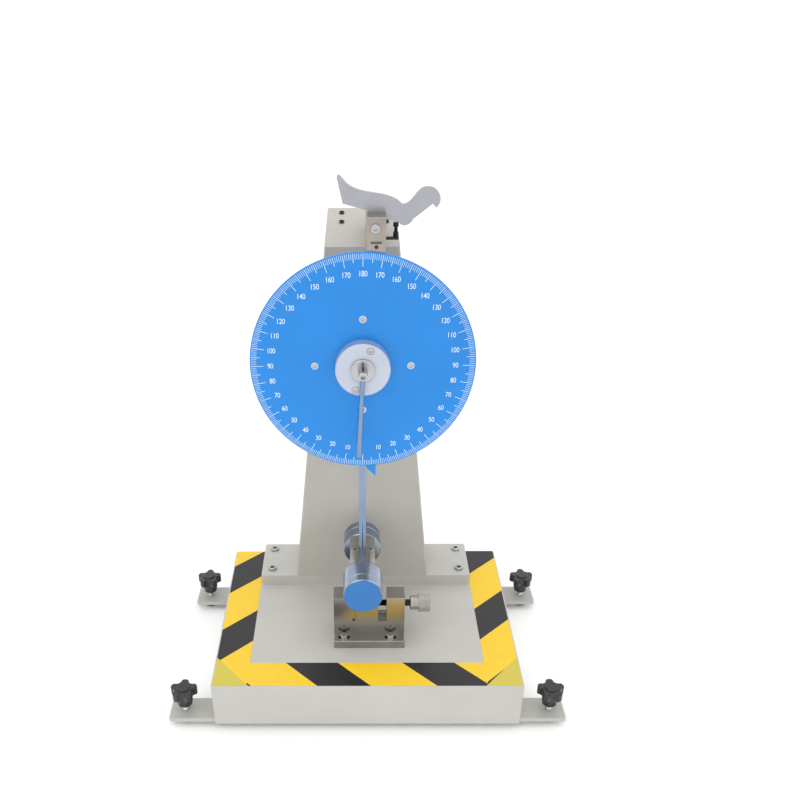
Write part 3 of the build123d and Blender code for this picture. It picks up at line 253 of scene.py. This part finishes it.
# Clear anodised aluminium: pale and cool, with a soft turned grain
ANODISED = Finish("Clear_anodised_aluminium", "C3CAD8", "B4BBCB", 0.5, 0.38, Grain.TURNED, 0.7, 0.01)
# Blue anodised aluminium sheet: one deep colour under a satin skin
DIAL_BLUE = Finish("Blue_anodised_aluminium", "0284DA", "007CCE", 0.12, 0.34, Grain.SMOOTH, 1.2, 0.01, 0.15)
CAP_BLUE = Finish("Blue_lacquer", "1F76BE", "1A6AAF", 0.25, 0.24, Grain.TURNED, 0.8, 0.01, 0.4)
# White screen ink, a little raised, with soft edges of density; the same white also paints the highlights on
# the dial's screw rims
WHITE_INK_AND_HIGHLIGHT = Finish("White_ink_and_painted_highlight", "E8F4FF", "CFE6FB", 0.0, 0.55, Grain.MOULDED, 0.6, 0.01)


@dataclass(frozen=True)
class HazardTape:
    """Vinyl floor tape: glossy yellow with black diagonals, doubled at the front corners."""

    name: str = "Vinyl_hazard_tape"
    yellow: str = "F2C81E"
    doubled: str = "CDBE45"
    black: str = "15151A"
    period: float = 0.172
    black_share: float = 0.4477
    side_x: float = 0.173
    side_lean: float = -1.0
    side_start: float = -0.178
    front_lean: float = 0.96
    front_start: float = -0.238
    corner_lean: float = -0.84
    corner_from: float = 0.3163
    wear_scale: float = 60.0

    def stripes(
        self,
        tree: bpy.types.NodeTree,
        x: bpy.types.NodeSocket,
        y: bpy.types.NodeSocket,
        lean: float,
        start: float,
    ) -> bpy.types.NodeSocket:
        """One run of diagonal stripes.

        Args:
            tree: the material's node tree.
            x: the X coordinate.
            y: the Y coordinate.
            lean: how much of Y is added to X, negative to lean the other way.
            start: where a black stripe begins, in metres.

        Returns:
            1 on black and 0 on yellow.
        """
        leaned = self.arithmetic(tree, "MULTIPLY_ADD", y, lean, x)
        moved = self.arithmetic(tree, "SUBTRACT", leaned, start)
        turns = self.arithmetic(tree, "DIVIDE", moved, self.period)
        part = self.arithmetic(tree, "FRACT", turns)
        return self.arithmetic(tree, "LESS_THAN", part, self.black_share)

    @staticmethod
    def arithmetic(
        tree: bpy.types.NodeTree, operation: str, *values: float | bpy.types.NodeSocket
    ) -> bpy.types.NodeSocket:
        """One step of arithmetic on numbers and sockets.

        Args:
            tree: the material's node tree.
            operation: the math node's operation.
            values: its inputs in order.

        Returns:
            The result's socket.
        """
        return add_node(tree, "ShaderNodeMath", dict(enumerate(values)), {"operation": operation}).outputs[0]

    def build(self) -> bpy.types.Material:
        """Make the tape's material.

        Returns:
            The new material.
        """
        material = bpy.data.materials.new(self.name)
        material.use_nodes = True
        tree = material.node_tree
        shader = tree.nodes["Principled BSDF"]
        coords = add_node(tree, "ShaderNodeTexCoord").outputs["Object"]
        split = add_node(tree, "ShaderNodeSeparateXYZ", {0: coords})
        x, y = split.outputs["X"], split.outputs["Y"]
        side = self.stripes(tree, x, y, self.side_lean, self.side_start)
        front = self.stripes(tree, x, y, self.front_lean, self.front_start)
        width = self.arithmetic(tree, "ABSOLUTE", x)
        inner = self.arithmetic(tree, "LESS_THAN", width, self.side_x)
        black = add_node(
            tree, "ShaderNodeMix", {"Factor": inner, 2: side, 3: front}, {"data_type": "FLOAT"}
        ).outputs[0]
        slant = self.arithmetic(tree, "MULTIPLY_ADD", y, self.corner_lean, width)
        corner = self.arithmetic(tree, "GREATER_THAN", slant, self.corner_from)
        wear = add_node(
            tree, "ShaderNodeTexNoise", {"Vector": coords, "Scale": self.wear_scale, "Detail": 5.0}
        )
        worn = add_node(
            tree, "ShaderNodeMapRange", {"Value": wear.outputs["Fac"], "To Min": 0.93, "To Max": 1.04}
        ).outputs[0]
        body = add_node(
            tree,
            "ShaderNodeMix",
            {"Factor": black, 6: srgb(self.yellow), 7: srgb(self.black)},
            {"data_type": "RGBA"},
        ).outputs[2]
        laid = add_node(
            tree, "ShaderNodeMix", {"Factor": corner, 6: body, 7: srgb(self.doubled)}, {"data_type": "RGBA"}
        ).outputs[2]
        aged = add_node(
            tree, "ShaderNodeVectorMath", {0: laid, "Scale": worn}, {"operation": "SCALE"}
        ).outputs[0]
        tree.links.new(aged, shader.inputs["Base Color"])
        gloss = add_node(
            tree, "ShaderNodeMapRange", {"Value": wear.outputs["Fac"], "To Min": 0.3, "To Max": 0.45}
        ).outputs[0]
        tree.links.new(gloss, shader.inputs["Roughness"])
        bump = add_node(
            tree, "ShaderNodeBump", {"Height": wear.outputs["Fac"], "Distance": 0.06 * MM, "Strength": 0.5}
        )
        tree.links.new(bump.outputs[0], shader.inputs["Normal"])
        return material


def piece_from(
    name: str, mesh: bmesh.types.BMesh, material: bpy.types.Material, body: str
) -> bpy.types.Object:
    """Close a bmesh into an object that rides on a body.

    Args:
        name: the piece's name.
        mesh: the finished bmesh, in the row frame.
        material: its material.
        body: the CAD body it rides on.

    Returns:
        The new object.
    """
    data = bpy.data.meshes.new(name)
    mesh.to_mesh(data)
    mesh.free()
    data.materials.append(material)
    piece = bpy.data.objects.new(name, data)
    bpy.context.scene.collection.objects.link(piece)
    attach(piece, body)
    LOG.info("piece %s on %s, %d faces", name, body, len(data.polygons))
    return piece


@dataclass
class CadFinishes:
    """The finishes of the carried-over solids, and where each turned grain is centred."""

    shaft: Vector = field(default_factory=lambda: Vector(SHAFT_CENTRE))
    hammer: Vector = field(default_factory=lambda: Vector(HAMMER_CENTRE))
    clamp: Vector = field(default_factory=lambda: Vector(CLAMP_CENTRE))
    origin: Vector = field(default_factory=lambda: Vector((0.0, 0.0, 0.0)))

    def plan(self) -> list[tuple[Finish, Vector, list[str]]]:
        """Which node wears which finish.

        Returns:
            Finish, grain centre and node names.
        """
        corners = ("fl", "fr", "rl", "rr")
        return [
            (POWDER_BASE, self.origin, ["base_cover", "foot_plate"]),
            (POWDER_COLUMN, self.origin, ["column_shell", "rear_cover"]),
            (POWDER_BARS, self.origin, ["front_cross_bar", "rear_cross_bar"]),
            (MILL_STEEL, self.origin, ["base_rails"]),
            (PHENOLIC, self.origin, [f"star_knob_{c}" for c in corners]),
            (RUBBER, self.origin, ["levelling_pads"]),
            (
                ZINC,
                self.origin,
                [f"levelling_stud_{c}" for c in corners]
                + ["bar_screws", "foot_screws", "housing_screws", "bridge_screws", "dial_screws"]
                + ["flange_screws", "vise_bolts", "pivot_pin"],
            ),
            (BLACK_OXIDE, self.origin, ["return_spring", "vise_screw"]),
            (
                DARK_SCREW,
                self.origin,
                ["rear_cover_screws", "roof_screws", "spring_anchor", "pointer_lock_pin", "bracket_screw"],
            ),
            (
                TURNED_STEEL,
                self.shaft,
                ["bearing_housing", "rear_bearing", "middle_bearing", "front_bearing", "pendulum_shaft"]
                + ["pendulum_hub", "pointer_hub", "pointer_collar", "carrier_spacers", "catch_pin"],
            ),
            (HAMMER_STEEL, self.hammer, ["front_weight", "rear_weight", "striker_blade"]),
            (CAP_BLUE, self.hammer, ["weight_cap"]),
            (DRAWN_ROD, self.origin, ["pendulum_rod", "pointer_needle"]),
            (GROUND_STEEL, self.origin, ["vise_body", "moving_jaw", "hammer_bridge"]),
            (LEVER_STEEL, self.origin, ["latch_lever"]),
            (CHEEK_STEEL, self.origin, ["front_cheek", "latch_bracket", "dial_carrier"]),
            (KNURL_STEEL, self.clamp, ["vise_knob"]),
            (ANODISED, self.shaft, ["dial_flange"]),
            (DIAL_BLUE, self.origin, ["dial", "scale_lug"]),
        ]

    def dress(self) -> None:
        """Give each carried-over solid its material."""
        for finish, centre, names in self.plan():
            material = finish.build(centre)
            for name in names:
                self.assign(name, material)
        self.assign("hazard_tape", HazardTape().build())

    def assign(self, name: str, material: bpy.types.Material) -> None:
        """Put one material on every slot of a node.

        Args:
            name: the node.
            material: its new material.
        """
        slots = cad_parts[name].material_slots
        for place in slots:
            place.material = material
        LOG.info("finish %s on %s", material.name, name)


@dataclass
class DialPrint:
    """The printed scale: fine ticks for each degree and a number every ten degrees."""

    centre: Vector = field(default_factory=lambda: Vector(SHAFT_CENTRE))
    rim: float = 0.1446
    lift: float = 0.0002
    number_radius: float = 0.1195
    number_size: float = 0.0098
    number_width: float = 0.84
    number_spacing: float = 0.92
    tens_tick: float = 0.0160
    fives_tick: float = 0.0112
    single_tick: float = 0.0072
    bold_half: float = 0.00032
    fine_half: float = 0.00024

    def face_y(self) -> float:
        """Where the print lies, just in front of the dial's face."""
        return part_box("dial")[0][1] - self.lift

    def tick_length(self, degree: int) -> float:
        """Length of the tick at a degree."""
        if degree % 10 == 0:
            return self.tens_tick
        return self.fives_tick if degree % 5 == 0 else self.single_tick

    def ticks(self, material: bpy.types.Material) -> None:
        """Print one thin tick for each degree.

        Args:
            material: the ink.
        """
        mesh = bmesh.new()
        for degree in range(360):
            length = self.tick_length(degree)
            half = self.bold_half if degree % 5 == 0 else self.fine_half
            made = bmesh.ops.create_grid(mesh, x_segments=1, y_segments=1, size=1.0)
            stretch = Matrix.Diagonal((half, length / 2, 1.0, 1.0))
            stand = Matrix.Rotation(math.radians(90), 4, "X")
            out = Matrix.Translation((0.0, 0.0, -(self.rim - length / 2)))
            turn = Matrix.Rotation(math.radians(degree), 4, "Y")
            place = Matrix.Translation((self.centre.x, self.face_y(), self.centre.z))
            bmesh.ops.transform(mesh, matrix=place @ turn @ out @ stand @ stretch, verts=made["verts"])
        piece_from("dial_ticks", mesh, material, FRAME)

    def numbers(self, material: bpy.types.Material) -> None:
        """Print the upright numbers, from 10 near the bottom to 180 at the top.

        Args:
            material: the ink.
        """
        mesh = bmesh.new()
        for degree in range(10, 181, 10):
            for side in (-1, 1) if degree < 180 else (1,):
                self.number(mesh, degree, side)
        piece_from("dial_numbers", mesh, material, FRAME)

    def number(self, mesh: bmesh.types.BMesh, degree: int, side: int) -> None:
        """Add one number to the print.

        Args:
            mesh: the bmesh that collects the numbers.
            degree: the number, counted from the bottom.
            side: 1 on the right and -1 on the left.
        """
        curve = bpy.data.curves.new(f"number_{degree}", "FONT")
        curve.body = str(degree)
        curve.size = self.number_size
        curve.align_x = "CENTER"
        curve.align_y = "CENTER"
        curve.space_character = self.number_spacing
        curve.resolution_u = 3
        holder = bpy.data.objects.new(curve.name, curve)
        angle = math.radians(degree)
        where = Vector(
            (
                self.centre.x + side * self.number_radius * math.sin(angle),
                self.face_y(),
                self.centre.z - self.number_radius * math.cos(angle),
            )
        )
        bpy.context.scene.collection.objects.link(holder)
        bpy.context.view_layer.update()
        flat = bpy.data.meshes.new_from_object(holder)
        narrow = Matrix.Diagonal((self.number_width, 1.0, 1.0, 1.0))
        flat.transform(Matrix.Translation(where) @ Matrix.Rotation(math.radians(90), 4, "X") @ narrow)
        mesh.from_mesh(flat)
        bpy.data.objects.remove(holder)
        bpy.data.curves.remove(curve)
        bpy.data.meshes.remove(flat)

    def build(self) -> None:
        """Print the whole scale."""
        ink = WHITE_INK_AND_HIGHLIGHT.build()
        self.ticks(ink)
        self.numbers(ink)


@dataclass
class ScrewRings:
    """Painted highlights: white rings round the dial's screws where the countersunk rims catch the light."""

    centre: Vector = field(default_factory=lambda: Vector(SHAFT_CENTRE))
    pitch_radius: float = 0.062
    ring_radius: float = 0.0041
    wire: float = 0.0006
    screws: int = 4

    def build(self) -> None:
        """Spin one white painted highlight rim for each screw."""
        mesh = bmesh.new()
        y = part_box("dial")[0][1] - self.wire * 0.4
        for turn in range(self.screws):
            angle = math.tau * turn / self.screws
            out = self.pitch_radius
            middle = self.centre + Vector((out * math.cos(angle), y, out * math.sin(angle)))
            made = bmesh.ops.create_circle(mesh, segments=8, radius=self.wire)
            start = Matrix.Translation(middle + Vector((self.ring_radius, 0.0, 0.0)))
            bmesh.ops.transform(mesh, matrix=start, verts=made["verts"])
            edges = list({edge for vert in made["verts"] for edge in vert.link_edges})
            bmesh.ops.spin(
                mesh,
                geom=edges,
                cent=middle,
                axis=(0.0, 1.0, 0.0),
                angle=math.tau,
                steps=24,
                use_merge=True,
            )
        bmesh.ops.recalc_face_normals(mesh, faces=mesh.faces)
        # The rims take the white ink finish as a painted highlight
        piece_from("dial_screw_rim_highlights", mesh, WHITE_INK_AND_HIGHLIGHT.build(), FRAME)


@dataclass
class Stage:
    """The pale floor, the soft lights and the camera of the studio."""

    eye: Vector = field(default_factory=lambda: Vector((-0.0149, -1.1612, 0.9746)))
    pitch: float = 32.14
    yaw: float = -0.78
    roll: float = 0.58
    focal_px: float = 915.6
    centre_px: tuple[float, float] = (345.8, 525.3)
    frame_px: float = 800.0
    aim_height: float = 0.35
    floor_half: float = 12.0
    floor_gap: float = 0.0005
    world_strength: float = 1.06

    def camera(self) -> None:
        """Set the camera at the photograph's place."""
        data = bpy.data.cameras.new("photo_camera")
        data.sensor_width = 36.0
        data.lens = self.focal_px * data.sensor_width / self.frame_px
        data.shift_x = (self.frame_px / 2 - self.centre_px[0]) / self.frame_px
        data.shift_y = (self.centre_px[1] - self.frame_px / 2) / self.frame_px
        data.clip_end = 50.0
        pitch, yaw = math.radians(self.pitch), math.radians(self.yaw)
        roll = math.radians(self.roll)
        level_reach = math.cos(pitch)
        ahead = Vector((math.sin(yaw) * level_reach, math.cos(yaw) * level_reach, -math.sin(pitch)))
        level = Vector((math.cos(yaw), -math.sin(yaw), 0.0))
        down = ahead.cross(level)
        right = math.cos(roll) * level + math.sin(roll) * down
        up = -(-math.sin(roll) * level + math.cos(roll) * down)
        turn = Matrix((right, up, -ahead)).transposed()
        eye = bpy.data.objects.new("photo_camera", data)
        eye.matrix_world = Matrix.Translation(self.eye) @ turn.to_4x4()
        bpy.context.scene.collection.objects.link(eye)
        bpy.context.scene.camera = eye

    def floor(self) -> None:
        """Lay a wide pale floor."""
        mesh = bmesh.new()
        bmesh.ops.create_grid(mesh, x_segments=1, y_segments=1, size=self.floor_half)
        data = bpy.data.meshes.new("studio_floor")
        mesh.to_mesh(data)
        mesh.free()
        paper = bpy.data.materials.new("Studio_paper")
        paper.use_nodes = True
        shader = paper.node_tree.nodes["Principled BSDF"]
        shader.inputs["Base Color"].default_value = srgb("FFFFFF")
        shader.inputs["Roughness"].default_value = 0.9
        data.materials.append(paper)
        floor = bpy.data.objects.new("studio_floor", data)
        floor.location.z = -self.floor_gap
        bpy.context.scene.collection.objects.link(floor)

    def lamp(self, name: str, at: tuple[float, float, float], size: float, watts: float) -> None:
        """Hang one soft square lamp that faces the tester.

        Args:
            name: the lamp's name.
            at: its place in metres.
            size: its side in metres.
            watts: its power.
        """
        data = bpy.data.lights.new(name, "AREA")
        data.shape = "SQUARE"
        data.size = size
        data.energy = watts
        lamp = bpy.data.objects.new(name, data)
        aim = Vector((0.0, 0.0, self.aim_height)) - Vector(at)
        lamp.matrix_world = Matrix.Translation(at) @ aim.to_track_quat("-Z", "Y").to_matrix().to_4x4()
        bpy.context.scene.collection.objects.link(lamp)

    def lights(self) -> None:
        """Light the studio softly from all round."""
        self.lamp("key_light", (-1.6, -2.2, 2.6), 2.2, 15.0)
        self.lamp("fill_light", (2.2, -1.8, 1.8), 2.0, 8.0)
        self.lamp("top_light", (0.0, 0.3, 3.2), 2.6, 10.0)
        world = bpy.data.worlds.new("studio_air")
        world.use_nodes = True
        air = world.node_tree.nodes["Background"]
        air.inputs["Color"].default_value = srgb("FFFFFF")
        air.inputs["Strength"].default_value = self.world_strength
        bpy.context.scene.world = world

    def build(self) -> None:
        """Set up the whole studio."""
        self.floor()
        self.lights()
        self.camera()
        bpy.context.scene.view_settings.view_transform = "Standard"


def main() -> None:
    """Dress the tester, print its dial and set the studio."""
    steps: list[tuple[str, Callable[[], None]]] = [
        ("finishes", CadFinishes().dress),
        ("dial print", DialPrint().build),
        # white rings that paint the highlights on the dial's screw rims
        ("screw rim highlights", ScrewRings().build),
        ("studio", Stage().build),
    ]
    for name, step in steps:
        step()
        LOG.info("%s done", name)


if __name__ == "__main__":
    main()
